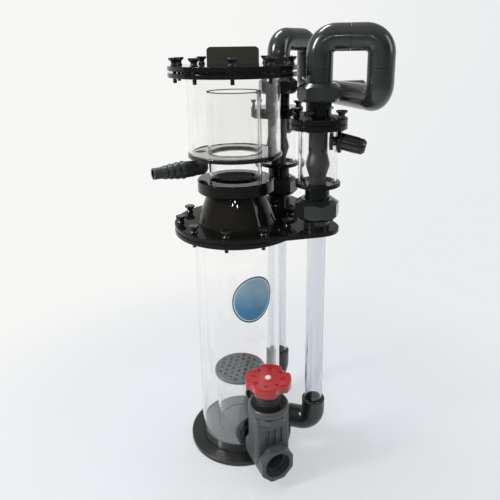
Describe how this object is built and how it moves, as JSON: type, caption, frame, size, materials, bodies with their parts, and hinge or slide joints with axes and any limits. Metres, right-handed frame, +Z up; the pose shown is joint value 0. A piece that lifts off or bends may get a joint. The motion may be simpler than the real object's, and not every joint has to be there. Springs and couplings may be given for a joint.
{
  "type": "protein skimmer",
  "caption": "Clear-tube protein skimmer with twin injector columns and feed loops, a black-lidded foam cup and a grey outlet gate valve with a red handwheel.",
  "frame": {"origin": "centre of the base plate's underside, on the axis of the body tube", "axes": "+Z up along the body tube, +X between the two injector columns towards the feed tee, the outlet valve near -Y"},
  "size_m": [0.5124, 0.4196, 1.025],
  "materials": {
    "base_grey": "satin dark grey sheet",
    "plate_grey": "satin mid-grey sheet",
    "clear_acrylic": "clear polished tube",
    "cup_acrylic": "clear polished tube",
    "clear_pipe": "clear bluish pipe",
    "black_acrylic": "polished black sheet",
    "black_nylon": "moulded black",
    "dark_pvc": "moulded dark grey",
    "valve_grey": "moulded mid-grey",
    "bonnet_dark": "moulded dark grey",
    "stem_brass": "turned",
    "wheel_red": "moulded red",
    "screw_white": "white cap",
    "nozzle_brown": "moulded brown-black",
    "gasket_white": "white silicone",
    "gasket_grey": "grey rubber",
    "black_rubber": "matt"
  },
  "bodies": {
    "skimmer": {"base_plate": "base_grey", "floor_plug": "plate_grey", "body_tube": "clear_acrylic", "diffuser_tube": "clear_acrylic", "bubble_plate": "plate_grey", "body_flange": "black_acrylic", "flange_gasket": "gasket_grey", "top_plate": "black_acrylic", "thumb_screws": "black_nylon", "cone": "black_acrylic", "neck_collar": "black_acrylic", "collar_oring": "black_rubber", "wall_saddles": "black_acrylic", "outlet_pipe": "dark_pvc", "valve_body": "valve_grey", "bonnet_ring": "valve_grey", "valve_bonnet": "bonnet_dark", "packing_nut": "bonnet_dark", "front_inlet_elbow": "dark_pvc", "rear_inlet_elbow": "dark_pvc", "front_downpipe": "clear_pipe", "rear_downpipe": "clear_pipe", "front_plate_socket": "dark_pvc", "rear_plate_socket": "dark_pvc", "front_housing_foot": "black_acrylic", "rear_housing_foot": "black_acrylic", "front_injector_tube": "clear_acrylic", "rear_injector_tube": "clear_acrylic", "front_nozzle": "nozzle_brown", "rear_nozzle": "nozzle_brown", "front_tube_flange": "black_acrylic", "rear_tube_flange": "black_acrylic", "front_cap_flange": "black_acrylic", "rear_cap_flange": "black_acrylic", "front_air_valve": "black_nylon", "rear_air_valve": "black_nylon", "loop_adapters": "dark_pvc", "front_loop": "dark_pvc", "rear_loop": "dark_pvc", "feed_tee": "dark_pvc"},
    "cup": {"cup_riser": "cup_acrylic", "cup_floor": "black_acrylic", "cup_tube": "cup_acrylic", "cup_flange": "black_acrylic", "drain_barb": "dark_pvc", "lid_gasket": "gasket_white"},
    "lid": {"lid": "black_acrylic", "lid_handle": "black_acrylic", "lid_screws": "black_nylon"},
    "handwheel": {"handwheel": "wheel_red", "handwheel_screw": "screw_white", "valve_stem": "stem_brass"},
    "gate": {"valve_gate": "valve_grey"},
    "front_lower_nut": {"front_lower_nut": "dark_pvc"},
    "rear_lower_nut": {"rear_lower_nut": "dark_pvc"},
    "front_upper_nut": {"front_upper_nut": "dark_pvc"},
    "rear_upper_nut": {"rear_upper_nut": "dark_pvc"},
    "front_air_knob": {"front_air_knob": "black_nylon"},
    "rear_air_knob": {"rear_air_knob": "black_nylon"}
  },
  "joints": [
    {"name": "cup_lift", "type": "slide", "parent": "skimmer", "child": "cup", "axis": [0, 0, 1], "range_m": [0, 0.16]},
    {"name": "lid_lift", "type": "slide", "parent": "cup", "child": "lid", "axis": [0, 0, 1], "range_m": [0, 0.12]},
    {"name": "handwheel_turn", "type": "hinge", "parent": "skimmer", "child": "handwheel", "pos_m": [0.01438, -0.16437, 0.062], "axis": [0, 0, 1], "range_deg": [-2880, 0]},
    {"name": "gate_slide", "type": "slide", "parent": "skimmer", "child": "gate", "axis": [0, 0, 1], "range_m": [-0.0525, 0]},
    {"name": "front_lower_nut_turn", "type": "hinge", "parent": "skimmer", "child": "front_lower_nut", "pos_m": [0.15273, -0.11302, 0.611], "axis": [0, 0, 1], "range_deg": [0, 1080]},
    {"name": "front_upper_nut_turn", "type": "hinge", "parent": "skimmer", "child": "front_upper_nut", "pos_m": [0.15273, -0.11302, 0.868], "axis": [0, 0, 1], "range_deg": [0, 1080]},
    {"name": "front_air_knob_turn", "type": "hinge", "parent": "skimmer", "child": "front_air_knob", "pos_m": [0.19333, -0.14305, 0.784], "axis": [0.7833, -0.5796, -0.225], "range_deg": [-270, 270]},
    {"name": "rear_lower_nut_turn", "type": "hinge", "parent": "skimmer", "child": "rear_lower_nut", "pos_m": [0.15273, 0.11302, 0.611], "axis": [0, 0, 1], "range_deg": [0, 1080]},
    {"name": "rear_upper_nut_turn", "type": "hinge", "parent": "skimmer", "child": "rear_upper_nut", "pos_m": [0.15273, 0.11302, 0.868], "axis": [0, 0, 1], "range_deg": [0, 1080]},
    {"name": "rear_air_knob_turn", "type": "hinge", "parent": "skimmer", "child": "rear_air_knob", "pos_m": [0.19333, 0.14305, 0.784], "axis": [0.7833, 0.5796, -0.225], "range_deg": [-270, 270]}
  ],
  "couplings": [
    {"joint": "gate_slide", "follows": "handwheel_turn", "m_per_rad": 0.0010345}
  ]
}
